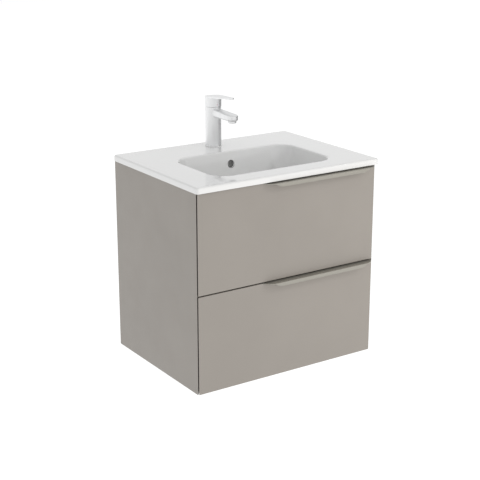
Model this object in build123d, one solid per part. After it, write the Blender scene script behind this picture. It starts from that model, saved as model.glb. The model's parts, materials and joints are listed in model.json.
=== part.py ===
from build123d import *
import math
import os

# Wall-hung bathroom vanity: two-drawer cabinet, ceramic washbasin, waste and trap, lever mixer tap.
# Millimetres. +X is to the right seen from the front, +Y points to the wall, +Z is up.
# The origin is the middle of the wall rail's fixing slots, on the wall plane.

# ---------------------------------------------------------------- driving dimensions
WIDTH = 600.0  # over the side panels
DEPTH = 450.0  # wall to the face of the fronts
HEIGHT = 570.0  # underside of the cabinet to the underside of the basin
BOARD = 16.0  # side panels, fronts, rails
GAP = 3.0  # shadow gap over the upper front and at the mitres
DRAWER_GAP = 4.0  # between the two fronts
FIXING_HEIGHT = 525.0  # wall fixings above the underside of the cabinet
LOWER_FRONT_HEIGHT = 282.5

BASIN_WIDTH = 610.0
BASIN_DEPTH = 460.0
DECK = 18.0  # thickness of the basin's edge
BOWL_WIDTH = 396.0
BOWL_LENGTH = 246.0
BOWL_DEPTH = 118.0
BOWL_DRAFT = 23.0  # how far each wall leans in, top to bottom
BOWL_Y = -272.0  # centre of the bowl and of its waste
BOWL_WALL = 10.0
RIM_RADIUS = 5.0

TAP_Y = -60.0
TAP_RADIUS = 24.0
TAP_BODY_HEIGHT = 118.0
SPOUT_REACH = 103.0
LEVER_REACH = 105.0
LEVER_SLOPE = 4.5  # degrees

SLIDE_LENGTH = 400.0
SLIDE_GAP = 13.0  # between a side panel and a drawer side
DRAWER_BOARD = 12.0
DRAWER_BOTTOM = 8.0

HANDLE_LENGTH = 384.0
HANDLE_X = 105.0  # the handles sit to the right of centre
HANDLE_REACH = 20.0  # in front of the drawer front
HANDLE_SHEET = 2.0
LIP_THICKNESS = 2.6
LIP_HEIGHT = 11.0
HANDLE_LEG = 28.0  # how far the profile reaches down behind the front
LEG_SETBACK = 4.0  # the leg stops this far short of the mitre
END_TAPER = 27.0  # the lip is this much shorter than the shelf at each end
LIP_CORNER = 46.0  # radius that carries the lip's lower edge up to its top

# ---------------------------------------------------------------- levels that follow from them
BOTTOM = -FIXING_HEIGHT
TOP = BOTTOM + HEIGHT
DECK_TOP = TOP + DECK
FACE = -DEPTH  # front face of the drawer fronts
BACK_OF_FRONT = FACE + BOARD
INNER_X = WIDTH / 2 - BOARD  # inner face of a side panel
MITRE_STEP = GAP / math.sqrt(2)  # each mitred edge stands back this far along X or Y
FLOOR_OF_BOWL = DECK_TOP - BOWL_DEPTH
SLIDE_FRONT = BACK_OF_FRONT + 4.0
BOX_X = INNER_X - SLIDE_GAP  # outer face of a drawer side
BOX_BACK = -44.0
EPS = 0.5  # how far a cutter runs past the face it opens


# ---------------------------------------------------------------- helpers
def block(x0, x1, y0, y1, z0, z1):
    """A box between two corners."""
    centre = Pos((x0 + x1) / 2, (y0 + y1) / 2, (z0 + z1) / 2)
    return centre * Box(abs(x1 - x0), abs(y1 - y0), abs(z1 - z0))


def rod_z(x, y, z0, z1, radius):
    return Pos(x, y, (z0 + z1) / 2) * Cylinder(radius, abs(z1 - z0))


def rod_y(x, y0, y1, z, radius):
    return Pos(x, (y0 + y1) / 2, z) * Rot(90, 0, 0) * Cylinder(radius, abs(y1 - y0))


def rod_x(x0, x1, y, z, radius):
    return Pos((x0 + x1) / 2, y, z) * Rot(0, 90, 0) * Cylinder(radius, abs(x1 - x0))


def prism_z(points, z0, z1):
    """A closed outline in plan, extruded from z0 to z1."""
    return Pos(0, 0, z0) * extrude(make_face(Polyline(*points, close=True)), amount=z1 - z0)


def prism_x(points, x0, x1):
    """A closed outline of (y, z) points, extruded from x0 to x1."""
    outline = Polyline(*[(0, y, z) for y, z in points], close=True)
    return Pos(x0, 0, 0) * extrude(make_face(outline), amount=x1 - x0, dir=(1, 0, 0))


def mirrored(shape):
    """The same shape on the other side of the centre line."""
    return mirror(shape, about=Plane.YZ)


def both_sides(shapes):
    return shapes + [mirrored(s) for s in shapes]


def cut(shape, cutters):
    for cutter in cutters:
        shape = shape - cutter
    return shape


def upright_edges(shape):
    return shape.edges().filter_by(Axis.Z)


def save(name, shapes):
    """One STEP file for a node. A list makes a node of several separate solids."""
    solids = []
    for shape in shapes if isinstance(shapes, list) else [shapes]:
        solids += list(shape.solids())
    export_step(solids[0] if len(solids) == 1 else Compound(children=solids), f"parts/{name}.step")


# ---------------------------------------------------------------- carcass
CAM_RADIUS = 7.5
CAM_DEPTH = 12.5
CAM_SETBACK = 34.0  # cam centre to the end of the board
BOLT_RADIUS = 3.5
BOLT_IN_SIDE = 11.0
DOWEL_RADIUS = 4.0
DOWEL_IN_SIDE = 12.0
DOWEL_LENGTH = 30.0
FRONT_RAIL_HEIGHT = 60.0
FRONT_RAIL_FACE = BACK_OF_FRONT + 4.0
BACK_RAIL_FACE = -36.0
BACK_RAIL_HEIGHT = 110.0
LOWER_RAIL_HEIGHT = 80.0
LOWER_RAIL_HOLE_X = 200.0
LOWER_RAIL_HOLE_RADIUS = 3.0
LOWER_RAIL_HOLE_Z = BOTTOM + BOARD + 40.0
NOTCH_WIDTH = 22.0
NOTCH_FLOOR = -10.0


def side_panel():
    """Left panel. Its front edge is mitred to meet the mitred edge of the fronts."""
    outer_tip = FACE + MITRE_STEP
    inner_tip = BACK_OF_FRONT + MITRE_STEP
    left = -WIDTH / 2
    return prism_z([(left, 0), (-INNER_X, 0), (-INNER_X, inner_tip), (left, outer_tip)], BOTTOM, TOP)


def dowel(y, z):
    """A wooden dowel across the joint between the left panel and a board."""
    start = -INNER_X - DOWEL_IN_SIDE
    return rod_x(start, start + DOWEL_LENGTH, y, z, DOWEL_RADIUS)


def cam_bolt(y, z):
    """A steel bolt screwed into the left panel, its head held inside the cam."""
    return rod_x(-INNER_X - BOLT_IN_SIDE, -INNER_X + CAM_SETBACK - 1.5, y, z, BOLT_RADIUS)


def cam_lock(y, z, dy, dz):
    """A cam's round pocket, and the slotted cam. (dy, dz) points from the open face into the board."""
    x = -INNER_X + CAM_SETBACK
    if dz:
        pocket = rod_z(x, y, z, z + dz * CAM_DEPTH, CAM_RADIUS)
        slot = block(x - 5, x + 5, y - 0.7, y + 0.7, z, z + 2 * dz)
    else:
        pocket = rod_y(x, y, y + dy * CAM_DEPTH, z, CAM_RADIUS)
        slot = block(x - 5, x + 5, y, y + 2 * dy, z - 0.7, z + 0.7)
    return pocket, pocket - slot


def carcass():
    mid_bottom = BOTTOM + BOARD / 2
    front_mid = FRONT_RAIL_FACE + BOARD / 2
    back_mid = BACK_RAIL_FACE + BOARD / 2
    lower_mid = -BOARD / 2
    dowels = [dowel(y, mid_bottom) for y in (-380, -60)]
    dowels += [dowel(front_mid, TOP - 15), dowel(back_mid, TOP - 98), dowel(lower_mid, BOTTOM + 34)]
    bolts = [cam_bolt(y, mid_bottom) for y in (-330, -110)]
    bolts += [cam_bolt(front_mid, TOP - 42), cam_bolt(back_mid, TOP - 74), cam_bolt(lower_mid, BOTTOM + 72)]
    front_rear = FRONT_RAIL_FACE + BOARD
    locks = [cam_lock(y, BOTTOM + BOARD, 0, -1) for y in (-330, -110)]
    locks.append(cam_lock(front_rear, TOP - 42, -1, 0))
    locks.append(cam_lock(BACK_RAIL_FACE, TOP - 74, 1, 0))
    locks.append(cam_lock(-BOARD, BOTTOM + 72, 1, 0))
    pockets = both_sides([pocket for pocket, _ in locks])
    cams = both_sides([cam - bolt for (_, cam), bolt in zip(locks, bolts)])
    dowels = both_sides(dowels)
    bolts = both_sides(bolts)
    inside = dowels + bolts + pockets

    bottom = block(-INNER_X, INNER_X, FRONT_RAIL_FACE, 0, BOTTOM, BOTTOM + BOARD)
    front_rail = block(-INNER_X, INNER_X, FRONT_RAIL_FACE, front_rear, TOP - FRONT_RAIL_HEIGHT, TOP)
    rail_rear = BACK_RAIL_FACE + BOARD
    back_rail = block(-INNER_X, INNER_X, BACK_RAIL_FACE, rail_rear, TOP - BACK_RAIL_HEIGHT, TOP)
    notch = block(-INNER_X, -INNER_X + NOTCH_WIDTH, BACK_RAIL_FACE, rail_rear, NOTCH_FLOOR, TOP)
    back_rail = cut(back_rail, [notch, mirrored(notch)])
    lower_top = BOTTOM + BOARD + LOWER_RAIL_HEIGHT
    lower_rail = block(-INNER_X, INNER_X, -BOARD, 0, BOTTOM + BOARD, lower_top)
    for x in (-LOWER_RAIL_HOLE_X, LOWER_RAIL_HOLE_X):
        lower_rail -= rod_y(x, -BOARD - EPS, EPS, LOWER_RAIL_HOLE_Z, LOWER_RAIL_HOLE_RADIUS)

    save("bottom_panel", cut(bottom, inside))
    save("front_rail", cut(front_rail, inside))
    save("back_rail_upper", cut(back_rail, inside))
    save("back_rail_lower", cut(lower_rail, inside))
    save("joint_dowels", dowels)
    save("cam_fittings", cams + bolts)
    return dowels + bolts


# ---------------------------------------------------------------- screws that sit in the side panels
SCREW_RADIUS = 2.0
SCREW_HEAD_RADIUS = 3.5
SCREW_HEAD = 1.5
SCREW_LENGTH = 12.0
RAIL_SCREW_Y = (-400.0, -230.0, -60.0)


def cross(x, y, z, along_x):
    """A cross recess round a point on a screw head's face."""
    deep, arm, half = 1.0, 2.2, 0.4
    if along_x:
        upright = block(x - deep, x + deep, y - half, y + half, z - arm, z + arm)
        return upright + block(x - deep, x + deep, y - arm, y + arm, z - half, z + half)
    upright = block(x - half, x + half, y - deep, y + deep, z - arm, z + arm)
    return upright + block(x - arm, x + arm, y - deep, y + deep, z - half, z + half)


def panel_screw(x_head, y, z):
    """A pan-head screw driven into the left panel from the inside."""
    head = rod_x(x_head, x_head + SCREW_HEAD, y, z, SCREW_HEAD_RADIUS)
    return head + rod_x(x_head - SCREW_LENGTH, x_head, y, z, SCREW_RADIUS)


# ---------------------------------------------------------------- wall rail and hangers
RAIL_HALF = 278.0
RAIL_SHEET = 2.5
RAIL_OFFSET = 8.0  # the hooking lip stands this far off the wall
RAIL_SLOT_X = 200.0
RAIL_SLOT_RADIUS = 4.0
RAIL_SLOT_LENGTH = 20.0
RAIL_LIP_TOP = 32.0
HANGER_WIDTH = 16.0
HANGER_FRONT = -98.0
HANGER_REAR = -40.0


def wall_rail():
    """Z-section steel rail. The cabinet's hooks drop in behind its upper lip."""
    step = 14.0
    outline = [
        (0, -20),
        (0, step + RAIL_SHEET),
        (-RAIL_OFFSET + RAIL_SHEET, step + RAIL_SHEET),
        (-RAIL_OFFSET + RAIL_SHEET, RAIL_LIP_TOP),
        (-RAIL_OFFSET, RAIL_LIP_TOP),
        (-RAIL_OFFSET, step),
        (-RAIL_SHEET, step),
        (-RAIL_SHEET, -20),
    ]
    rail = prism_x(outline, -RAIL_HALF, RAIL_HALF)
    for x in (-RAIL_SLOT_X, RAIL_SLOT_X):
        slot = SlotOverall(RAIL_SLOT_LENGTH, 2 * RAIL_SLOT_RADIUS)
        rail -= Pos(x, 0, 0) * Rot(90, 0, 0) * extrude(slot, amount=2 * RAIL_OFFSET, both=True)
    save("wall_rail", rail)


def hanger():
    """Left cabinet hanger: a housing on the side panel and a steel hook over the wall rail's lip."""
    outer = -INNER_X
    inner = outer + HANGER_WIDTH
    housing = block(outer, inner, HANGER_FRONT, HANGER_REAR, -16, TOP - 3)
    housing = fillet(housing.edges().filter_by(Axis.X), 3)
    arm = block(outer + 2, inner - 2, HANGER_REAR, -1.5, RAIL_LIP_TOP, RAIL_LIP_TOP + 6)
    tongue = block(outer + 2, inner - 2, -4.5, -1.5, 19, RAIL_LIP_TOP)
    holes = [rod_y(outer + 8, HANGER_FRONT, HANGER_FRONT + 12, z, 4) for z in (2, 22)]
    adjusters = []
    for z in (2, 22):
        screw = rod_y(outer + 8, HANGER_FRONT + 2, HANGER_FRONT + 12, z, 4)
        cross = block(outer + 5.5, outer + 10.5, HANGER_FRONT + 2, HANGER_FRONT + 4, z - 0.6, z + 0.6)
        cross += block(outer + 7.4, outer + 8.6, HANGER_FRONT + 2, HANGER_FRONT + 4, z - 2.5, z + 2.5)
        adjusters.append(screw - cross)
    return cut(housing + arm + tongue, holes), adjusters


def hanger_screw(y, z):
    """A long screw through a hanger's housing, its head let in flush."""
    face = -INNER_X + HANGER_WIDTH
    head = rod_x(face - 2, face, y, z, SCREW_HEAD_RADIUS)
    return head + rod_x(-INNER_X - SCREW_LENGTH, face - 2, y, z, SCREW_RADIUS)


# ---------------------------------------------------------------- telescopic slides
OUTER_HALF, MIDDLE_HALF, INNER_HALF = 22.5, 17.5, 12.5  # half heights of the three members
SLIDE_SHEET = 1.2


def channel(u_web, u_lips, half, z):
    """Left slide member: a steel channel. u is measured from the side panel towards the drawer."""
    web = u_web if u_web < u_lips else u_web - SLIDE_SHEET
    low, high = min(u_web, u_lips), max(u_web, u_lips)
    x = -INNER_X
    rear = SLIDE_FRONT + SLIDE_LENGTH
    member = block(x + web, x + web + SLIDE_SHEET, SLIDE_FRONT, rear, z - half, z + half)
    member += block(x + low, x + high, SLIDE_FRONT, rear, z + half - SLIDE_SHEET, z + half)
    member += block(x + low, x + high, SLIDE_FRONT, rear, z - half, z - half + SLIDE_SHEET)
    return member


def slide_glides(z):
    """Nylon runners clipped to the middle member: outside at its rear half, inside at its front half."""
    x = -INNER_X
    half_way = SLIDE_FRONT + SLIDE_LENGTH / 2
    rear = SLIDE_FRONT + SLIDE_LENGTH
    clearance = 0.3
    pads = []
    for side in (-1, 1):
        low, high = MIDDLE_HALF, OUTER_HALF - SLIDE_SHEET - clearance
        pads.append(block(x + 4.5, x + 9.0, half_way, rear, z + side * low, z + side * high))
        low, high = INNER_HALF + clearance, MIDDLE_HALF - SLIDE_SHEET
        pads.append(block(x + 7.5, x + 11.2, SLIDE_FRONT, half_way, z + side * low, z + side * high))
    return pads


# ---------------------------------------------------------------- drawers
GROOVE = 6.0  # how far the drawer bottom sits in the sides
WELL_HALF = 85.0  # half width of the cut-out round the trap
WELL_FRONT = -352.0
WELL_CORNER = 32.0
GUARD_WALL = 3.0


def drawer_front(z0, z1):
    """Slab front, mitred at both ends, rebated along its top for the handle."""
    half = WIDTH / 2 - MITRE_STEP
    inner = half - BOARD
    outline = [(-half, FACE), (half, FACE), (inner, BACK_OF_FRONT), (-inner, BACK_OF_FRONT)]
    front = prism_z(outline, z0, z1)
    left = HANDLE_X - HANDLE_LENGTH / 2
    front -= block(left, half + EPS, FACE - EPS, BACK_OF_FRONT + EPS, z1 - HANDLE_SHEET, z1 + EPS)
    leg_top = BACK_OF_FRONT - HANDLE_SHEET
    front -= block(left, inner - LEG_SETBACK, leg_top, BACK_OF_FRONT + EPS, z1 - HANDLE_LEG, z1 + EPS)
    return front


def handle(z1):
    """Edge-pull profile: a leg behind the front, a thin shelf over it and a rounded lip."""
    lip_face = FACE - HANDLE_REACH
    lip_back = lip_face + LIP_THICKNESS
    leg = BACK_OF_FRONT - HANDLE_SHEET
    outline = [
        (lip_face, z1),
        (BACK_OF_FRONT, z1),
        (BACK_OF_FRONT, z1 - HANDLE_LEG),
        (leg, z1 - HANDLE_LEG),
        (leg, z1 - HANDLE_SHEET),
        (lip_back, z1 - HANDLE_SHEET),
        (lip_back, z1 - LIP_HEIGHT),
        (lip_face, z1 - LIP_HEIGHT),
    ]
    left = HANDLE_X - HANDLE_LENGTH / 2
    right = HANDLE_X + HANDLE_LENGTH / 2
    profile = prism_x(outline, left, right)
    long_edges = profile.edges().filter_by(Axis.X)
    soft = [e for e in long_edges if e.center().Y < lip_back + 0.1 and e.center().Z < z1 - LIP_HEIGHT + 0.1]
    profile = fillet(soft, LIP_THICKNESS / 2 - 0.1)
    long_edges = profile.edges().filter_by(Axis.X)
    top_edge = [e for e in long_edges if e.center().Y < lip_face + 0.1 and e.center().Z > z1 - 0.1]
    profile = fillet(top_edge, 1.2)

    # seen from above, each end sweeps in from the face of the front to the lip
    for x, way in ((right, 1), (left, -1)):
        sweep = ThreePointArc((x, FACE), (x - way * 9, FACE - 11), (x - way * END_TAPER, lip_face))
        rest = Polyline((x - way * END_TAPER, lip_face), (x - way * END_TAPER, lip_face - 5),
                        (x + way * 5, lip_face - 5), (x + way * 5, FACE), (x, FACE))
        corner = extrude(make_face([sweep, rest]), amount=2 * LIP_HEIGHT)
        profile -= Pos(0, 0, z1 - 1.5 * LIP_HEIGHT) * corner

    # seen from the front, a large arc carries the lip's lower edge up to its end
    run = math.sqrt(LIP_CORNER ** 2 - (LIP_CORNER - LIP_HEIGHT) ** 2)
    for x, way in ((right - END_TAPER, 1), (left + END_TAPER, -1)):
        centre_x = x - way * run
        ring = rod_y(centre_x, lip_face - 1, FACE - 2, z1 - LIP_HEIGHT + LIP_CORNER, LIP_CORNER)
        below = block(centre_x, x + way * 2 * END_TAPER, lip_face - 1, FACE - 2,
                      z1 - LIP_HEIGHT - 1, z1 - HANDLE_SHEET)
        profile -= below - ring

    # behind the face the right end follows the front's mitre, and the leg stops short of it
    end = WIDTH / 2 - MITRE_STEP
    profile -= prism_z([(end, FACE), (end - BOARD, BACK_OF_FRONT), (end - BOARD, 0), (end, 0)],
                       z1 - HANDLE_LEG - EPS, z1 + EPS)
    leg_end = end - BOARD - LEG_SETBACK
    profile -= block(leg_end, right + EPS, leg - EPS, BACK_OF_FRONT + EPS,
                     z1 - HANDLE_LEG - EPS, z1 - HANDLE_SHEET)
    return profile


def handle_screw(x, z):
    head = rod_y(x, BACK_OF_FRONT - HANDLE_SHEET, BACK_OF_FRONT, z, 3.0)
    return head + rod_y(x, BACK_OF_FRONT - 12, BACK_OF_FRONT - HANDLE_SHEET, z, 1.5)


def front_screw(x, z):
    """Holds the inner front to the slab front, from inside the drawer."""
    inside = BACK_OF_FRONT + DRAWER_BOARD
    head = rod_y(x, inside - 2, inside, z, 4.0)
    return head + rod_y(x, BACK_OF_FRONT - 10, inside - 2, z, SCREW_RADIUS)


def slide_screw(y, z):
    """Holds the left drawer member of a slide to the drawer side."""
    web = -BOX_X - SLIDE_SHEET
    head = rod_x(web - SCREW_HEAD, web, y, z, SCREW_HEAD_RADIUS)
    return head + rod_x(web, -BOX_X + 9, y, z, SCREW_RADIUS)


def well(half, front, z0, z1):
    """The U-shaped space round the trap, open at the back."""
    shape = block(-half, half, front, BOX_BACK + 1, z0, z1)
    corners = [e for e in upright_edges(shape) if e.center().Y < front + 1]
    return fillet(corners, WELL_CORNER - (WELL_HALF - half))


def drawer(name, front_low, front_high, box_low, box_high, slide_z, with_well):
    bottom_low = box_low + 10
    bottom_high = bottom_low + DRAWER_BOTTOM
    inner_face = BOX_X - DRAWER_BOARD

    handle_points = [(HANDLE_X + dx, front_high - 18) for dx in (-160, -10, 140)]
    front_points = [(x, z) for x in (-200, 200) for z in (box_low + 34, box_high - 24)]
    screws = [handle_screw(x, z) for x, z in handle_points]
    screws += [front_screw(x, z) for x, z in front_points]
    crosses = [cross(x, BACK_OF_FRONT, z, False) for x, z in handle_points]
    crosses += [cross(x, BACK_OF_FRONT + DRAWER_BOARD, z, False) for x, z in front_points]
    side_screws = both_sides([slide_screw(y, slide_z) for y in RAIL_SCREW_Y])
    screws += side_screws
    side_face = -BOX_X - SLIDE_SHEET - SCREW_HEAD
    crosses += both_sides([cross(side_face, y, slide_z, True) for y in RAIL_SCREW_Y])

    half_bottom = inner_face + GROOVE
    bottom = block(-half_bottom, half_bottom, BACK_OF_FRONT + 6, BOX_BACK, bottom_low, bottom_high)
    side = block(-BOX_X, -inner_face, BACK_OF_FRONT, BOX_BACK, box_low, box_high)
    inner_front_rear = BACK_OF_FRONT + DRAWER_BOARD
    inner_front = block(-inner_face, inner_face, BACK_OF_FRONT, inner_front_rear, box_low, box_high)
    rear = BOX_BACK - DRAWER_BOARD
    back = block(-inner_face, inner_face, rear, BOX_BACK, bottom_high, box_high)
    side = side - bottom
    inner_front = inner_front - bottom
    if with_well:
        opening = well(WELL_HALF, WELL_FRONT, box_low - 1, box_high + 1)
        bottom = bottom - opening
        back = back - opening
        guard = well(WELL_HALF, WELL_FRONT, bottom_low, box_high)
        guard += well(WELL_HALF + 8, WELL_FRONT - 8, bottom_high, bottom_high + 2) & block(
            -150, 150, WELL_FRONT - 20, rear, bottom_low, box_high)
        guard -= well(WELL_HALF - GUARD_WALL, WELL_FRONT + GUARD_WALL, bottom_low - 1, box_high + 1)
        guard -= block(-150, 150, BOX_BACK, BOX_BACK + 5, bottom_low - 1, box_high + 1)
        save(f"{name}_trap_guard", guard)

    front = drawer_front(front_low, front_high)
    save(f"{name}_front", cut(front, screws))
    save(f"{name}_handle", cut(handle(front_high), screws))
    save(f"{name}_side_left", cut(side, screws))
    save(f"{name}_side_right", cut(mirrored(side), screws))
    save(f"{name}_inner_front", cut(inner_front, screws))
    save(f"{name}_back", back)
    save(f"{name}_bottom", bottom)
    save(f"{name}_screws", [screw - recess for screw, recess in zip(screws, crosses)])

    inner_rail = cut(channel(SLIDE_GAP, 7.0, INNER_HALF, slide_z), side_screws)
    save(f"{name}_slide_inner", both_sides([inner_rail]))
    save(f"{name}_slide_middle", both_sides([channel(4.5, 11.2, MIDDLE_HALF, slide_z)]))
    save(f"{name}_slide_glides", both_sides(slide_glides(slide_z)))


# ---------------------------------------------------------------- washbasin
TAP_HOLE_RADIUS = 17.5
DRAIN_RADIUS = 23.0
DRAIN_RECESS = 34.0
OVERFLOW_RADIUS = 12.0
OVERFLOW_DROP = 37.0  # below the deck
BOSS_BOTTOM = FLOOR_OF_BOWL - 25.0


def bowl_wall_y(z, offset=0.0):
    """The bowl's back wall at height z, moved outwards by offset."""
    lean = (DECK_TOP - z) / BOWL_DEPTH * BOWL_DRAFT
    return BOWL_Y + BOWL_LENGTH / 2 - lean + offset


def bowl(grow, z_top, z_bottom, floor_radius):
    """Rounded, tapering bowl. grow makes the outer skin from the inner one."""
    def section(z, corner):
        lean = (DECK_TOP - z) / BOWL_DEPTH * BOWL_DRAFT
        width = BOWL_WIDTH + 2 * (grow - lean)
        length = BOWL_LENGTH + 2 * (grow - lean)
        return Pos(0, BOWL_Y, z) * RectangleRounded(width, length, corner)

    skin = loft([section(z_top, 52 + grow), section(z_bottom, 56 + grow)])
    floor_edges = skin.faces().sort_by(Axis.Z)[0].edges()
    return fillet(floor_edges, floor_radius)


def washbasin():
    deck = block(-BASIN_WIDTH / 2, BASIN_WIDTH / 2, -BASIN_DEPTH, 0, TOP, DECK_TOP)
    deck = fillet(upright_edges(deck), 9)
    deck = fillet(deck.faces().sort_by(Axis.Z)[-1].edges(), 5)
    deck = fillet(deck.faces().sort_by(Axis.Z)[0].edges(), 2)
    skirt_bottom = FLOOR_OF_BOWL - BOWL_WALL
    outer = bowl(BOWL_WALL, TOP + 6, skirt_bottom, 44)
    boss = rod_z(0, BOWL_Y, BOSS_BOTTOM, FLOOR_OF_BOWL - 2, 40)

    # overflow: hole in the back wall, a channel behind it and a duct under the floor to the waste
    channel_boss = prism_x([(bowl_wall_y(TOP, 4), TOP + 2), (bowl_wall_y(TOP, 30), TOP + 2),
                            (bowl_wall_y(skirt_bottom, 30), skirt_bottom - 14), (BOWL_Y, skirt_bottom - 14),
                            (BOWL_Y, skirt_bottom + 4)], -32, 32)
    ceramic = deck + outer + boss + channel_boss
    ceramic -= bowl(0, DECK_TOP, FLOOR_OF_BOWL, 38)
    rim = [e for e in ceramic.edges()
           if abs(e.center().Z - DECK_TOP) < 0.01 and abs(e.center().X) < BOWL_WIDTH / 2 + 1
           and abs(e.center().Y - BOWL_Y) < BOWL_LENGTH / 2 + 1]
    ceramic = fillet(rim, RIM_RADIUS)

    top_of_channel = DECK_TOP - OVERFLOW_DROP + 16
    duct_top = skirt_bottom - 2
    duct_bottom = skirt_bottom - 10
    ceramic -= prism_x([(bowl_wall_y(top_of_channel, 8), top_of_channel),
                        (bowl_wall_y(top_of_channel, 22), top_of_channel),
                        (bowl_wall_y(duct_bottom, 22), duct_bottom),
                        (BOWL_Y, duct_bottom), (BOWL_Y, duct_top),
                        (bowl_wall_y(duct_top, 8), duct_top)], -20, 20)
    hole_z = DECK_TOP - OVERFLOW_DROP
    ceramic -= rod_y(0, bowl_wall_y(hole_z, -20), bowl_wall_y(hole_z, 14), hole_z, OVERFLOW_RADIUS)
    ceramic -= rod_z(0, BOWL_Y, FLOOR_OF_BOWL - 3, FLOOR_OF_BOWL + 20, DRAIN_RECESS)
    ceramic -= rod_z(0, BOWL_Y, BOSS_BOTTOM - 1, FLOOR_OF_BOWL, DRAIN_RADIUS)
    ceramic -= rod_z(0, TAP_Y, TOP - 1, DECK_TOP + 1, TAP_HOLE_RADIUS)
    save("washbasin", ceramic)


# ---------------------------------------------------------------- waste and trap
WASTE_TUBE = 20.5
WASTE_BORE = 17.5
WASTE_END = BOSS_BOTTOM - 34.0
TRAP_PIPE = 16.0
PIPE_WALL = 1.5
PIPE_INSERTION = 50.0  # a moulded groove shows how far the pipe goes into the wall fitting
TRAP_OUTLET_Z = -170.0
TRAP_RADIUS = 34.0


def ring(x, y, z0, z1, outer, inner):
    return rod_z(x, y, z0, z1, outer) - rod_z(x, y, z0 - 1, z1 + 1, inner)


def waste():
    recess = FLOOR_OF_BOWL - 3
    flange = rod_z(0, BOWL_Y, recess + 1.5, recess + 3.5, 32.5)
    flange = fillet(flange.faces().sort_by(Axis.Z)[-1].edges(), 1.5)
    body = flange + rod_z(0, BOWL_Y, WASTE_END, recess + 2, WASTE_TUBE)
    body -= rod_z(0, BOWL_Y, WASTE_END - 1, recess + 5, WASTE_BORE)
    skirt_bottom = FLOOR_OF_BOWL - BOWL_WALL
    body -= block(-12, 12, BOWL_Y - 30, BOWL_Y + 30, skirt_bottom - 10, skirt_bottom - 2)
    save("waste_body", body)

    upper_seal = ring(0, BOWL_Y, recess, recess + 1.5, 31, WASTE_TUBE)
    lower_seal = ring(0, BOWL_Y, BOSS_BOTTOM - 4, BOSS_BOTTOM, 34, WASTE_TUBE)
    save("waste_seals", [upper_seal, lower_seal])
    nut = Pos(0, BOWL_Y, BOSS_BOTTOM - 16) * extrude(RegularPolygon(33, 8), amount=12)
    save("waste_backnut", nut - rod_z(0, BOWL_Y, BOSS_BOTTOM - 20, BOSS_BOTTOM, WASTE_TUBE))

    # click mechanism: a hub on three arms inside the tube, and the plug that drops into it
    arm_z = BOSS_BOTTOM - 20
    hub = rod_z(0, BOWL_Y, arm_z - 14, FLOOR_OF_BOWL - 12, 7)
    for k in range(3):
        spoke = block(0, WASTE_BORE + 2, -1.5, 1.5, arm_z - 4, arm_z + 4)
        arm = Pos(0, BOWL_Y, 0) * Rot(0, 0, 90 + 120 * k) * spoke
        hub += arm & rod_z(0, BOWL_Y, arm_z - 10, arm_z + 10, WASTE_BORE)
    hub -= rod_z(0, BOWL_Y, arm_z - 6, FLOOR_OF_BOWL, 4.4)
    save("waste_click_cartridge", hub)
    cap = rod_z(0, BOWL_Y, recess + 4, recess + 8, 31.5)
    cap = fillet(cap.faces().sort_by(Axis.Z)[-1].edges(), 3)
    save("waste_plug", cap + rod_z(0, BOWL_Y, arm_z + 2, recess + 5, 4.0))


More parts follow.
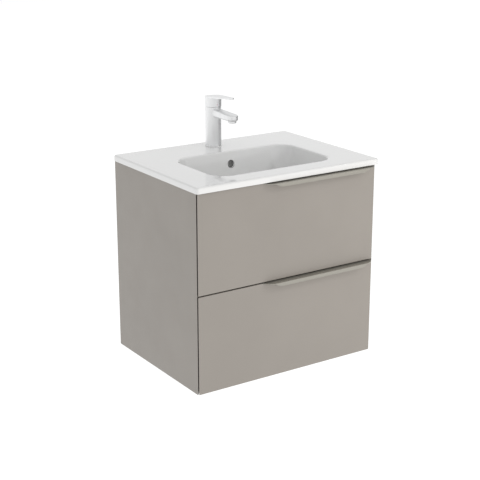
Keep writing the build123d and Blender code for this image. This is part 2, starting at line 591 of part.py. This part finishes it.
def trap():
    inlet_top = WASTE_END
    inlet_nut = Pos(0, BOWL_Y, inlet_top - 12) * extrude(RegularPolygon(28, 8), amount=24)
    inlet_nut -= rod_z(0, BOWL_Y, inlet_top, inlet_top + 20, WASTE_TUBE)
    inlet_nut -= rod_z(0, BOWL_Y, inlet_top - 20, inlet_top + 1, TRAP_PIPE)
    save("trap_inlet_nut", inlet_nut)

    lid = TRAP_OUTLET_Z + 26
    skirt = TRAP_OUTLET_Z - 26
    cup_bottom = TRAP_OUTLET_Z - 92
    dip = cup_bottom + 26
    head = rod_z(0, BOWL_Y, skirt, lid, TRAP_RADIUS)
    head = fillet(head.faces().sort_by(Axis.Z)[-1].edges(), 8)
    socket_end = BOWL_Y + TRAP_RADIUS + 24
    head += rod_y(0, BOWL_Y, socket_end, TRAP_OUTLET_Z, TRAP_PIPE + 4)
    head -= rod_z(0, BOWL_Y, skirt - 1, lid - 3, TRAP_RADIUS - 3)
    head -= rod_y(0, BOWL_Y, socket_end + 1, TRAP_OUTLET_Z, TRAP_PIPE)
    head += rod_z(0, BOWL_Y, dip, inlet_top, TRAP_PIPE)
    head -= rod_z(0, BOWL_Y, dip - 1, inlet_top + 1, TRAP_PIPE - PIPE_WALL)
    save("trap_body", head)

    cup = rod_z(0, BOWL_Y, cup_bottom, skirt, TRAP_RADIUS)
    cup = fillet(cup.faces().sort_by(Axis.Z)[0].edges(), 12)
    cup -= rod_z(0, BOWL_Y, cup_bottom + 14, skirt + 1, TRAP_RADIUS - 3)
    low, high = skirt - 14, skirt + 4
    collar = ring(0, BOWL_Y, low, high, TRAP_RADIUS + 4, TRAP_RADIUS)
    for k in range(12):
        angle = math.radians(30 * k)
        x = (TRAP_RADIUS + 4) * math.cos(angle)
        y = BOWL_Y + (TRAP_RADIUS + 4) * math.sin(angle)
        collar += rod_z(x, y, low, high, 2.2) - rod_z(0, BOWL_Y, low - 1, high + 1, TRAP_RADIUS + 2)
    save("trap_cup", cup + collar)

    nut = rod_y(0, socket_end - 14, socket_end + 8, TRAP_OUTLET_Z, TRAP_PIPE + 9)
    nut -= rod_y(0, socket_end - 15, socket_end, TRAP_OUTLET_Z, TRAP_PIPE + 4)
    nut -= rod_y(0, socket_end - 1, socket_end + 9, TRAP_OUTLET_Z, TRAP_PIPE)
    for k in range(10):
        angle = math.radians(36 * k)
        x = (TRAP_PIPE + 9.8) * math.cos(angle)
        z = TRAP_OUTLET_Z + (TRAP_PIPE + 9.8) * math.sin(angle)
        nut -= rod_y(x, socket_end - 15, socket_end + 9, z, 2.5)
    save("trap_outlet_nut", nut)
    pipe = rod_y(0, socket_end - 20, 0, TRAP_OUTLET_Z, TRAP_PIPE)
    pipe -= rod_y(0, socket_end - 21, 1, TRAP_OUTLET_Z, TRAP_PIPE - PIPE_WALL)
    mark = rod_y(0, -PIPE_INSERTION - 1.5, -PIPE_INSERTION, TRAP_OUTLET_Z, TRAP_PIPE + 1)
    mark -= rod_y(0, -PIPE_INSERTION - 2, 0, TRAP_OUTLET_Z, TRAP_PIPE - 0.5)
    save("trap_outlet_pipe", pipe - mark)


# ---------------------------------------------------------------- mixer tap
SEAL = 1.0
TAP_FOOT = DECK_TOP + SEAL
TAP_SEAM = TAP_FOOT + TAP_BODY_HEIGHT
HANDLE_RADIUS = 25.0
HANDLE_SEAM = 0.8
PIVOT_Y = TAP_Y + 6.0
PIVOT_Z = TAP_SEAM - 4.0
LIFT = 18.0  # degrees
STUD_Y = TAP_Y - 10.0
INLET_X, INLET_Y = 7.0, TAP_Y + 5.0
INLET_RADIUS = 4.5
INLET_DEPTH = 14.0
CARTRIDGE_FLOOR = TAP_SEAM - 46.0


def tap_body():
    body = rod_z(0, TAP_Y, TAP_FOOT, TAP_SEAM, TAP_RADIUS)
    tip_y = TAP_Y - SPOUT_REACH
    underside = TAP_FOOT + 91
    root_top = TAP_FOOT + 114
    tip_top = TAP_FOOT + 108
    past_tip = tip_y - 20
    side = prism_x([(TAP_Y, underside), (TAP_Y, root_top),
                    (past_tip, tip_top), (past_tip, underside)], -17, 17)
    plan = prism_z([(-14, TAP_Y), (14, TAP_Y), (17, tip_y), (-17, tip_y)], underside, root_top)
    plan += rod_z(0, tip_y, underside, root_top, 17)
    spout = side & plan
    spout = fillet(spout.faces().sort_by(Axis.Z)[-1].edges().sort_by(Axis.Y)[:-1], 4)
    spout = fillet([e for e in spout.faces().sort_by(Axis.Z)[0].edges() if e.center().Y < TAP_Y - 1], 5)
    body += spout
    body = fillet([e for e in body.faces().sort_by(Axis.Z)[0].edges()], 0.8)
    body -= rod_z(0, TAP_Y, CARTRIDGE_FLOOR, TAP_SEAM + 1, 18.5)
    body -= rod_z(0, tip_y, underside - 1, underside + 6, 11)
    waterway = underside + 9
    body -= rod_y(0, tip_y, TAP_Y - 10, waterway, 4)
    body -= rod_z(0, tip_y, underside, waterway + 2, 4)
    for x in (-INLET_X, INLET_X):
        body -= rod_z(x, INLET_Y, TAP_FOOT - 1, TAP_FOOT + INLET_DEPTH, INLET_RADIUS)
        body -= rod_z(x, INLET_Y, TAP_FOOT, CARTRIDGE_FLOOR + 1, 3)
    body -= rod_z(0, STUD_Y, TAP_FOOT - 1, TAP_FOOT + 12, 4)
    save("tap_body", body)

    aerator = rod_z(0, tip_y, underside - 6, underside + 6, 11)
    aerator += ring(0, tip_y, underside - 6, underside, 12, 9)
    aerator = fillet(aerator.faces().sort_by(Axis.Z)[0].edges(), 0.6)
    aerator -= rod_z(0, tip_y, underside - 7, underside - 3, 8)
    save("tap_aerator", aerator)


def tap_inside():
    neck = CARTRIDGE_FLOOR + 34
    cartridge = rod_z(0, TAP_Y, CARTRIDGE_FLOOR, neck, 18.2)
    cartridge += rod_z(0, TAP_Y, neck, TAP_SEAM - 4, 15.5)
    cartridge -= rod_z(0, TAP_Y, neck - 8, TAP_SEAM, 13.0)
    save("tap_cartridge", cartridge)
    save("tap_cartridge_nut", ring(0, TAP_Y, neck, TAP_SEAM - 2, 18.5, 15.5))
    carrier = rod_z(0, TAP_Y, neck - 7.6, TAP_SEAM - 2, 12.6)
    carrier -= block(-4.4, 4.4, PIVOT_Y - 9, PIVOT_Y + 20, neck + 0.5, TAP_SEAM)
    save("tap_cartridge_carrier", carrier)
    stem = block(-4, 4, PIVOT_Y - 4, PIVOT_Y + 4, PIVOT_Z - 4, PIVOT_Z + 20)
    pivot_bore = rod_x(-5, 5, PIVOT_Y, PIVOT_Z, 1.5)
    save("tap_stem", stem - pivot_bore)

    save("tap_base_seal", ring(0, TAP_Y, DECK_TOP, TAP_FOOT, 23.4, 17.5))
    save("tap_stud", rod_z(0, STUD_Y, TOP - 22, TAP_FOOT + 12, 4))
    washer = rod_z(0, TAP_Y, TOP - 3, TOP, 22)
    washer -= block(-13, 13, TAP_Y - 2.5, TAP_Y + 30, TOP - 4, TOP + 1)
    save("tap_washer", washer - rod_z(0, STUD_Y, TOP - 4, TOP + 1, 4))
    nut = Pos(0, STUD_Y, TOP - 11) * extrude(RegularPolygon(7.5, 6), amount=8)
    save("tap_nut", nut - rod_z(0, STUD_Y, TOP - 12, TOP, 4))


def tap_handle():
    """A hollow cap with the lever plate on top. The plate climbs towards its tip."""
    low = TAP_SEAM + HANDLE_SEAM
    plate_at_axis = TAP_SEAM + 31.5
    slope = math.tan(math.radians(LEVER_SLOPE))
    plate = 4.6
    back, tip = TAP_Y + 30, TAP_Y - LEVER_REACH - 5

    def lever_height(y):
        return plate_at_axis + (TAP_Y - y) * slope

    wedge = [(back, low), (back, lever_height(back)), (tip, lever_height(tip)), (tip, low)]
    under = prism_x(wedge, -40, 40)
    cap = rod_z(0, TAP_Y, low, low + 80, HANDLE_RADIUS) & under
    cap -= rod_z(0, TAP_Y, low - 1, plate_at_axis - 8, HANDLE_RADIUS - 3)

    end_y = TAP_Y - LEVER_REACH + 9
    taper = [(-HANDLE_RADIUS, TAP_Y), (HANDLE_RADIUS, TAP_Y), (9, end_y), (-9, end_y)]
    outline = prism_z(taper, low, low + 80)
    outline += rod_z(0, end_y, low, low + 80, 9)
    outline += rod_z(0, TAP_Y, low, low + 80, HANDLE_RADIUS)
    slab = prism_x([(back, lever_height(back) - plate), (back, lever_height(back)),
                    (tip, lever_height(tip)), (tip, lever_height(tip) - plate)], -40, 40)
    lever = outline & slab
    hub = block(-7, 7, PIVOT_Y - 7, PIVOT_Y + 7, PIVOT_Z + 8, plate_at_axis - 5)
    shape = cap + lever + hub
    shape -= block(-4, 4, PIVOT_Y - 4, PIVOT_Y + 4, PIVOT_Z, PIVOT_Z + 20)

    # the skirt is cut back behind the pivot so that the handle can tip up
    rise = math.tan(math.radians(LIFT + 2))
    shape -= prism_x([(PIVOT_Y, low - 1), (PIVOT_Y, low), (TAP_Y + 40, low + (TAP_Y + 40 - PIVOT_Y) * rise),
                      (TAP_Y + 40, low - 1)], -40, 40)
    dot = rod_y(0, TAP_Y - HANDLE_RADIUS - 1, TAP_Y - HANDLE_RADIUS + 5, low + 7, 3)
    save("tap_handle", shape - dot)
    save("tap_indicator", dot & rod_z(0, TAP_Y, low, low + 20, HANDLE_RADIUS + 0.2)
         - rod_z(0, TAP_Y, low, low + 20, HANDLE_RADIUS - 3))


# ---------------------------------------------------------------- assembly
UPPER_SLIDE_Z = BOTTOM + 350.0
LOWER_SLIDE_Z = BOTTOM + 110.0


def main():
    os.makedirs("parts", exist_ok=True)
    joint_cutters = carcass()

    left_hanger, adjusters = hanger()
    hanger_points = ((-88, -9), (-50, -9), (-50, 12))
    hanger_fixings = [hanger_screw(y, z) for y, z in hanger_points]
    crosses = [cross(-INNER_X + HANGER_WIDTH, y, z, True) for y, z in hanger_points]
    rails = {}
    rail_fixings = []
    for name, z in (("upper", UPPER_SLIDE_Z), ("lower", LOWER_SLIDE_Z)):
        fixings = [panel_screw(-INNER_X + SLIDE_SHEET, y, z) for y in RAIL_SCREW_Y]
        rails[name] = cut(channel(0, 9.5, OUTER_HALF, z), fixings)
        crosses += [cross(-INNER_X + SLIDE_SHEET + SCREW_HEAD, y, z, True) for y in RAIL_SCREW_Y]
        rail_fixings += fixings
    for name, rail in rails.items():
        save(f"{name}_cabinet_rails", both_sides([rail]))

    left_fixings = hanger_fixings + rail_fixings
    panel = cut(side_panel(), left_fixings + joint_cutters)
    save("side_panel_left", panel)
    save("side_panel_right", mirrored(panel))
    save("cabinet_hangers", both_sides([cut(left_hanger, hanger_fixings)]))
    save("hanger_adjusters", both_sides(adjusters))
    save("panel_screws", both_sides([screw - recess for screw, recess in zip(left_fixings, crosses)]))
    wall_rail()

    lower_high = BOTTOM + LOWER_FRONT_HEIGHT
    upper_low = lower_high + DRAWER_GAP
    drawer("upper_drawer", upper_low, TOP - GAP, BOTTOM + 300, BOTTOM + 428, UPPER_SLIDE_Z, True)
    drawer("lower_drawer", BOTTOM, lower_high, BOTTOM + 30, BOTTOM + 230, LOWER_SLIDE_Z, False)

    washbasin()
    waste()
    trap()
    tap_body()
    tap_inside()
    tap_handle()


main()
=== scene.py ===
import json
import math

import bmesh
import bpy
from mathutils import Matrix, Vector


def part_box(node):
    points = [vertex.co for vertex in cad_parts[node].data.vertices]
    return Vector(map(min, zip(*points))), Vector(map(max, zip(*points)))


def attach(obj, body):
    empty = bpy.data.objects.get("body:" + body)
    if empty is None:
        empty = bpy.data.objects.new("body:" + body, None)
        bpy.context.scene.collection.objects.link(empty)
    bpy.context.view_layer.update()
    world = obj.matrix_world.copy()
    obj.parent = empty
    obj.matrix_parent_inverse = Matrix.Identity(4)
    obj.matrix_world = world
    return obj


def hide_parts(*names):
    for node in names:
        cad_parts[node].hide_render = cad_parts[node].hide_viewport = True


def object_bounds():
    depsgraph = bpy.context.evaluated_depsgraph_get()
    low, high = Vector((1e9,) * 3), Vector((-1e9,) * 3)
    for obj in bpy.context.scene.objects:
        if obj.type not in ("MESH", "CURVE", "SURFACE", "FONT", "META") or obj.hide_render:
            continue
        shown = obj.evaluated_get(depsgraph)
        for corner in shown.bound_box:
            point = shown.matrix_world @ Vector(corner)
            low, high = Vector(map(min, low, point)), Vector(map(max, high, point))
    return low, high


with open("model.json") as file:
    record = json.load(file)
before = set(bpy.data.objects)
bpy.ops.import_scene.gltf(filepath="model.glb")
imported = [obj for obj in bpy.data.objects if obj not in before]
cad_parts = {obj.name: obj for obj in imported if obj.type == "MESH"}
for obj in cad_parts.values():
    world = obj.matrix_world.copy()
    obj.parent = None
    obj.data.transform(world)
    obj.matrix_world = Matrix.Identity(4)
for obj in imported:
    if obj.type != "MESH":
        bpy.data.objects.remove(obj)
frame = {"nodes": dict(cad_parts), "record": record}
cad_low, cad_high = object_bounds()

MM = 0.001


# ---------------------------------------------------------------- camera, floor and light
CAMERA_AT = Vector((-1.837, -2.966, 0.837))
CAMERA_YAW = math.radians(33.62)
CAMERA_PITCH = math.radians(17.28)
CAMERA_LENS = 88.27
FLOOR_BELOW = 0.30  # under the cabinet, which hangs on a wall
FLOOR_REACH = 12.0
FLOOR_GLOW = 0.93
HORIZON = 1.0  # strength of the room's light at the horizon and overhead
ZENITH = 0.78
SOFTBOX_POWER = 26.0
KEY_POWER = 7.0


def linked(obj):
    bpy.context.scene.collection.objects.link(obj)
    return obj


def camera():
    data = bpy.data.cameras.new("camera")
    data.lens = CAMERA_LENS
    data.sensor_width = 36.0
    data.clip_start, data.clip_end = 0.05, 60.0
    obj = linked(bpy.data.objects.new("camera", data))
    obj.location = CAMERA_AT
    obj.rotation_euler = (math.pi / 2 - CAMERA_PITCH, 0, -CAMERA_YAW)
    bpy.context.scene.camera = obj


def card(name, corners, grey):
    """A flat matt sheet of the stage."""
    mesh = bpy.data.meshes.new(name)
    mesh.from_pydata(corners, [], [(0, 1, 2, 3)])
    mat = bpy.data.materials.new(name)
    mat.use_nodes = True
    shader = mat.node_tree.nodes["Principled BSDF"]
    shader.inputs["Base Color"].default_value = (grey, grey, grey, 1)
    shader.inputs["Roughness"].default_value = 0.9
    mesh.materials.append(mat)
    obj = linked(bpy.data.objects.new(name, mesh))
    return obj


def floor():
    """A pale floor that glows like a backlit sweep."""
    size, z = FLOOR_REACH, cad_low.z - FLOOR_BELOW
    obj = card("floor", [(-size, -size, z), (size, -size, z), (size, size, z), (-size, size, z)], 0.2)
    shader = obj.data.materials[0].node_tree.nodes["Principled BSDF"]
    shader.inputs["Specular IOR Level"].default_value = 0.0
    shader.inputs["Emission Color"].default_value = (1, 1, 1, 1)
    shader.inputs["Emission Strength"].default_value = FLOOR_GLOW


def area_light(name, location, target, size, power, colour):
    data = bpy.data.lights.new(name, "AREA")
    data.shape = "RECTANGLE"
    data.size, data.size_y = size
    data.energy = power
    data.color = colour
    obj = linked(bpy.data.objects.new(name, data))
    obj.location = location
    obj.rotation_euler = (Vector(target) - Vector(location)).to_track_quat("-Z", "Y").to_euler()
    obj.visible_glossy = False  # no square of light in the glaze or the plating


def flag():
    """A dark card on the right that only reflections see: it shades the right side of the tap."""
    x, near, far, low, high = 0.9, -1.0, 0.15, -0.25, 0.55
    obj = card("flag", [(x, near, low), (x, far, low), (x, far, high), (x, near, high)], 0.3)
    obj.visible_camera = False
    obj.visible_diffuse = False
    obj.visible_shadow = False


def lighting():
    """A white room, brighter at the horizon, a low warm softbox at the front and a small key light."""
    world = bpy.data.worlds.new("studio")
    bpy.context.scene.world = world
    world.use_nodes = True
    tree = world.node_tree
    where = tree.nodes.new("ShaderNodeTexCoord")
    split = tree.nodes.new("ShaderNodeSeparateXYZ")
    fade = tree.nodes.new("ShaderNodeMapRange")
    fade.interpolation_type = "SMOOTHSTEP"
    fade.inputs["From Min"].default_value = 0.05
    fade.inputs["From Max"].default_value = 0.85
    fade.inputs["To Min"].default_value = HORIZON
    fade.inputs["To Max"].default_value = ZENITH
    tree.links.new(where.outputs["Generated"], split.inputs["Vector"])
    tree.links.new(split.outputs["Z"], fade.inputs["Value"])
    tree.links.new(fade.outputs["Result"], tree.nodes["Background"].inputs["Strength"])
    tree.nodes["Background"].inputs["Color"].default_value = (1, 1, 1, 1)
    area_light("softbox", (1.7, -2.7, -0.25), (0.2, -0.45, -0.25), (2.6, 0.9), SOFTBOX_POWER,
               (1.0, 0.95, 0.89))
    area_light("key", (1.3, -1.7, 1.1), (0.0, -0.25, 0.0), (0.4, 0.4), KEY_POWER, (1, 1, 1))
    bpy.context.scene.view_settings.view_transform = "Standard"


# ---------------------------------------------------------------- material building blocks
def principled(name, colour, roughness, metallic=0.0, **extra):
    mat = bpy.data.materials.new(name)
    mat.use_nodes = True
    shader = mat.node_tree.nodes["Principled BSDF"]
    shader.inputs["Base Color"].default_value = (*colour, 1)
    shader.inputs["Roughness"].default_value = roughness
    shader.inputs["Metallic"].default_value = metallic
    for socket, value in extra.items():
        shader.inputs[socket.replace("_", " ")].default_value = value
    return mat


def stretched(mat, scale):
    """Coordinates in metres on the piece, scaled along each axis."""
    nodes, links = mat.node_tree.nodes, mat.node_tree.links
    where = nodes.new("ShaderNodeTexCoord")
    mapping = nodes.new("ShaderNodeMapping")
    mapping.inputs["Scale"].default_value = scale
    links.new(where.outputs["Object"], mapping.inputs["Vector"])
    return mapping.outputs["Vector"]


def noise(mat, scale, detail=3.0, stretch=(1, 1, 1)):
    node = mat.node_tree.nodes.new("ShaderNodeTexNoise")
    node.inputs["Scale"].default_value = scale
    node.inputs["Detail"].default_value = detail
    mat.node_tree.links.new(stretched(mat, stretch), node.inputs["Vector"])
    return node.outputs["Fac"]


def cells(mat, scale, output="Distance", stretch=(1, 1, 1)):
    node = mat.node_tree.nodes.new("ShaderNodeTexVoronoi")
    node.inputs["Scale"].default_value = scale
    mat.node_tree.links.new(stretched(mat, stretch), node.inputs["Vector"])
    return node.outputs[output]


def spread(mat, value, low, high, start=0.3, end=0.7):
    """Maps start..end of a pattern to low..high."""
    node = mat.node_tree.nodes.new("ShaderNodeMapRange")
    mat.node_tree.links.new(value, node.inputs["Value"])
    for socket, number in (("From Min", start), ("From Max", end), ("To Min", low), ("To Max", high)):
        node.inputs[socket].default_value = number
    return node.outputs["Result"]


def sums(mat, a, b, operation="ADD"):
    node = mat.node_tree.nodes.new("ShaderNodeMath")
    node.operation = operation
    mat.node_tree.links.new(a, node.inputs[0])
    mat.node_tree.links.new(b, node.inputs[1])
    return node.outputs["Value"]


def drive(mat, socket, value):
    mat.node_tree.links.new(value, mat.node_tree.nodes["Principled BSDF"].inputs[socket])


def two_tone(mat, factor, first, second):
    """Base colour that runs from first to second with the pattern."""
    node = mat.node_tree.nodes.new("ShaderNodeMix")
    node.data_type = "RGBA"
    mat.node_tree.links.new(factor, node.inputs["Factor"])
    node.inputs["A"].default_value = (*first, 1)
    node.inputs["B"].default_value = (*second, 1)
    drive(mat, "Base Color", node.outputs["Result"])


def relief(mat, height, distance, strength=1.0):
    node = mat.node_tree.nodes.new("ShaderNodeBump")
    node.inputs["Strength"].default_value = strength
    node.inputs["Distance"].default_value = distance
    mat.node_tree.links.new(height, node.inputs["Height"])
    drive(mat, "Normal", node.outputs["Normal"])


def shade(colour, factor):
    return tuple(c * factor for c in colour)


# ---------------------------------------------------------------- the finishes
def lacquer():
    """Sprayed satin lacquer: faint orange peel, slightly uneven sheen, soft handling marks."""
    colour = (0.262, 0.240, 0.215)
    mat = principled("warm_grey_lacquer", colour, 0.42, Coat_Weight=0.12, Coat_Roughness=0.25)
    two_tone(mat, spread(mat, noise(mat, 5.0), 0, 1), shade(colour, 0.975), shade(colour, 1.02))
    sheen = sums(mat, spread(mat, noise(mat, 14.0), 0.36, 0.46), spread(mat, noise(mat, 260.0), 0.0, 0.05))
    drive(mat, "Roughness", sheen)
    relief(mat, noise(mat, 700.0, 2.0), 0.00006, 0.35)
    return mat


def melamine(name, colour):
    """Pressed melamine board with a fine woven emboss."""
    mat = principled(name, colour, 0.5)
    warp = noise(mat, 1.0, 2.0, (60, 900, 900))
    weft = noise(mat, 1.0, 2.0, (900, 60, 60))
    weave = sums(mat, warp, weft, "MULTIPLY")
    two_tone(mat, spread(mat, weave, 0, 1, 0.12, 0.4), shade(colour, 0.93), shade(colour, 1.04))
    drive(mat, "Roughness", spread(mat, noise(mat, 20.0), 0.42, 0.58))
    relief(mat, weave, 0.00010, 0.5)
    return mat


def beech():
    mat = principled("beech", (0.60, 0.42, 0.25), 0.6)
    grain = noise(mat, 1.0, 4.0, (40, 900, 900))
    two_tone(mat, spread(mat, grain, 0, 1), (0.50, 0.33, 0.18), (0.66, 0.48, 0.30))
    drive(mat, "Roughness", spread(mat, grain, 0.5, 0.7))
    relief(mat, grain, 0.00015, 0.6)
    return mat


def anodised():
    """Satin anodised profile, brushed along its length."""
    colour = (0.285, 0.271, 0.234)
    mat = principled("satin_anodised", colour, 0.45, 0.25, Coat_Weight=0.7, Coat_Roughness=0.3)
    lines = noise(mat, 1.0, 2.0, (12, 2200, 2200))
    two_tone(mat, spread(mat, lines, 0, 1), shade(colour, 0.94), shade(colour, 1.05))
    wear = sums(mat, spread(mat, noise(mat, 30.0), 0.40, 0.50), spread(mat, lines, -0.03, 0.03))
    drive(mat, "Roughness", wear)
    relief(mat, lines, 0.00004, 0.4)
    return mat


def ceramic():
    """Thick white glaze with the slight waviness of fired ware."""
    mat = principled("white_glaze", (0.69, 0.69, 0.685), 0.06, Coat_Weight=0.6, Coat_Roughness=0.03)
    tone = spread(mat, noise(mat, 7.0), 0, 1)
    two_tone(mat, tone, (0.682, 0.682, 0.674), (0.696, 0.696, 0.693))
    drive(mat, "Roughness", spread(mat, noise(mat, 30.0), 0.05, 0.10))
    relief(mat, noise(mat, 16.0, 1.0), 0.0006, 0.25)
    return mat


def chrome():
    """Satin-bright plating with wiping smears and dried water marks."""
    mat = principled("chrome_plate", (0.84, 0.845, 0.85), 0.42, 1.0)
    smears = spread(mat, noise(mat, 1.0, 3.0, (70, 70, 18)), 0.38, 0.48)
    marks = spread(mat, cells(mat, 160.0), 0.05, 0.0, 0.0, 0.18)
    drive(mat, "Roughness", sums(mat, smears, marks))
    relief(mat, noise(mat, 90.0, 2.0), 0.00008, 0.12)
    return mat


def brass():
    mat = principled("turned_brass", (0.72, 0.56, 0.28), 0.3, 1.0)
    rings = noise(mat, 1.0, 2.0, (60, 60, 2500))
    two_tone(mat, spread(mat, noise(mat, 60.0), 0, 1), (0.60, 0.44, 0.20), (0.76, 0.60, 0.32))
    drive(mat, "Roughness", spread(mat, rings, 0.24, 0.42))
    relief(mat, rings, 0.00005, 0.5)
    return mat


def zinc():
    """Zinc plating: dull crystals and a slightly yellow passivation."""
    mat = principled("zinc_plate", (0.60, 0.61, 0.61), 0.35, 1.0)
    two_tone(mat, spread(mat, noise(mat, 120.0), 0, 1), (0.52, 0.53, 0.54), (0.68, 0.68, 0.65))
    drive(mat, "Roughness", spread(mat, cells(mat, 220.0), 0.28, 0.46, 0.0, 0.6))
    relief(mat, cells(mat, 500.0), 0.00004, 0.4)
    return mat


def slide_steel():
    """Rolled and plated sheet, drawn along the slide."""
    mat = principled("rolled_steel", (0.55, 0.56, 0.57), 0.35, 1.0)
    lines = noise(mat, 1.0, 2.0, (1800, 10, 1800))
    two_tone(mat, spread(mat, lines, 0, 1), (0.47, 0.48, 0.49), (0.60, 0.61, 0.62))
    drive(mat, "Roughness", spread(mat, noise(mat, 40.0), 0.28, 0.42))
    relief(mat, lines, 0.00004, 0.5)
    return mat


def moulded(name, colour, rough, grain=900.0, depth=0.00005):
    """Injection-moulded plastic with an eroded mould texture."""
    mat = principled(name, colour, rough)
    two_tone(mat, spread(mat, noise(mat, 25.0), 0, 1), shade(colour, 0.95), shade(colour, 1.04))
    drive(mat, "Roughness", spread(mat, noise(mat, 60.0), rough - 0.06, rough + 0.08))
    relief(mat, noise(mat, grain, 2.0), depth, 0.5)
    return mat


def indicator():
    """Hot mark on the left half, cold mark on the right half, both muted."""
    mat = principled("hot_cold_mark", (0.3, 0.22, 0.25), 0.3)
    split = mat.node_tree.nodes.new("ShaderNodeSeparateXYZ")
    mat.node_tree.links.new(stretched(mat, (1, 1, 1)), split.inputs["Vector"])
    side = spread(mat, split.outputs["X"], 0, 1, -0.2 * MM, 0.2 * MM)
    two_tone(mat, side, (0.60, 0.50, 0.49), (0.50, 0.52, 0.59))
    drive(mat, "Roughness", spread(mat, noise(mat, 300.0), 0.25, 0.4))
    return mat


looks = {
    "lacquered_board": lacquer(),
    "cabinet_board": melamine("cabinet_melamine", (0.50, 0.485, 0.46)),
    "drawer_board": melamine("drawer_melamine", (0.43, 0.415, 0.39)),
    "beech_dowel": beech(),
    "satin_aluminium": anodised(),
    "glazed_ceramic": ceramic(),
    "chrome": chrome(),
    "brass_fitting": brass(),
    "zinc_fitting": zinc(),
    "slide_steel": slide_steel(),
    "nylon": moulded("natural_nylon", (0.74, 0.73, 0.69), 0.48),
    "white_plastic": moulded("white_polypropylene", (0.80, 0.80, 0.79), 0.38, 1400.0, 0.00003),
    "grey_plastic": moulded("grey_plastic", (0.30, 0.30, 0.30), 0.5),
    "black_rubber": moulded("black_rubber", (0.03, 0.03, 0.03), 0.72),
    "indicator_enamel": indicator(),
}

slots = {row["node"]: row["material_slot"] for row in frame["record"]["subparts"]}
bodies = {node: body for body, nodes in frame["record"]["behaviour"]["bodies"].items() for node in nodes}

for name, slot in slots.items():
    node = frame["nodes"][name]
    node.data.materials.clear()
    node.data.materials.append(looks[slot])


# ---------------------------------------------------------------- boards with eased edges
WELD = 0.002 * MM
FLAT_ANGLE = math.radians(0.4)  # faces that meet under this angle become one
CRISP_ANGLE = math.radians(30)
SMOOTH_ANGLE = math.radians(35)
SHORTEST_EDGE = 8 * MM
EASED_BY = 0.35 * MM


def piece(name, mesh, node):
    """A new piece that takes a node's place, body and finish."""
    mesh.materials.clear()
    mesh.materials.append(looks[slots[node]])
    obj = linked(bpy.data.objects.new(name, mesh))
    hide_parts(node)
    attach(obj, bodies[node])
    return obj


def eased(node):
    """A copy of a node whose crisp edges, apart from the short ones, are slightly rounded over."""
    mesh = bpy.data.meshes.new(node + "_eased")
    bm = bmesh.new()
    bm.from_mesh(frame["nodes"][node].data)
    bmesh.ops.remove_doubles(bm, verts=bm.verts, dist=WELD)
    bmesh.ops.dissolve_limit(bm, angle_limit=FLAT_ANGLE, verts=bm.verts, edges=bm.edges)
    crisp = []
    for edge in bm.edges:
        if len(edge.link_faces) != 2 or edge.calc_length() < SHORTEST_EDGE:
            continue
        if edge.calc_face_angle() > CRISP_ANGLE:
            crisp.append(edge)
    bmesh.ops.bevel(bm, geom=crisp, offset=EASED_BY, segments=2, profile=0.5, affect="EDGES",
                    clamp_overlap=True)
    for face in bm.faces:
        face.smooth = True
    bm.to_mesh(mesh)
    bm.free()
    mesh.set_sharp_from_angle(angle=SMOOTH_ANGLE)
    obj = piece(node + "_eased", mesh, node)
    normals = obj.modifiers.new("weighted normals", "WEIGHTED_NORMAL")
    normals.keep_sharp = True
    return obj


for node, slot in slots.items():
    if slot in ("lacquered_board", "cabinet_board", "drawer_board"):
        eased(node)


# ---------------------------------------------------------------- water grid under the spout
GRID_RADIUS = 7.8 * MM
GRID_THICKNESS = 1.2 * MM
GRID_RIM = 0.9 * MM
GRID_BAR = 0.5 * MM
GRID_BARS = 7  # each way
GRID_ABOVE = 1.4 * MM  # above the aerator's lower edge
RIM_STEPS = 48


def grid_disc(y, z):
    """A round water grid of a rim and crossing bars, centred on (0, y) with its lower face at z."""
    bm = bmesh.new()
    inner = GRID_RADIUS - GRID_RIM
    profile = ((GRID_RADIUS, 0), (inner, 0), (inner, GRID_THICKNESS), (GRID_RADIUS, GRID_THICKNESS))
    turns = [2 * math.pi * k / RIM_STEPS for k in range(RIM_STEPS)]
    rim = []
    for r, up in profile:
        rim.append([bm.verts.new((r * math.cos(t), y + r * math.sin(t), z + up)) for t in turns])
    for k in range(RIM_STEPS):
        n = (k + 1) % RIM_STEPS
        for a, b in ((0, 1), (1, 2), (2, 3), (3, 0)):
            bm.faces.new((rim[a][k], rim[a][n], rim[b][n], rim[b][k]))
    bar_end = inner + 0.1 * MM  # each bar runs a little into the rim
    deep = GRID_THICKNESS * 0.8
    for along_y in (False, True):
        for k in range(GRID_BARS):
            at = bar_end * (2 * (k + 1) / (GRID_BARS + 1) - 1)
            length = 2 * math.sqrt(bar_end ** 2 - at ** 2)
            size = (GRID_BAR, length, deep) if along_y else (length, GRID_BAR, deep)
            x_off, y_off = (at, 0) if along_y else (0, at)
            centre = Vector((x_off, y + y_off, z + GRID_THICKNESS / 2))
            for v in bmesh.ops.create_cube(bm, size=1.0)["verts"]:
                v.co = centre + Vector(c * s for c, s in zip(v.co, size))
    bmesh.ops.recalc_face_normals(bm, faces=bm.faces)
    mesh = bpy.data.meshes.new("aerator_grid")
    bm.to_mesh(mesh)
    bm.free()
    mesh.set_sharp_from_angle(angle=SMOOTH_ANGLE)
    return mesh


def extra(name, mesh, body, slot):
    """A small detail that replaces no node."""
    mesh.materials.clear()
    mesh.materials.append(looks[slot])
    obj = linked(bpy.data.objects.new(name, mesh))
    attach(obj, body)
    return obj


outlet_low, outlet_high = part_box("tap_aerator")
outlet_y = (outlet_low.y + outlet_high.y) / 2
extra("aerator_grid", grid_disc(outlet_y, outlet_low.z + GRID_ABOVE), "cabinet", "grey_plastic")


# ---------------------------------------------------------------- the picture
camera()
floor()
flag()
lighting()
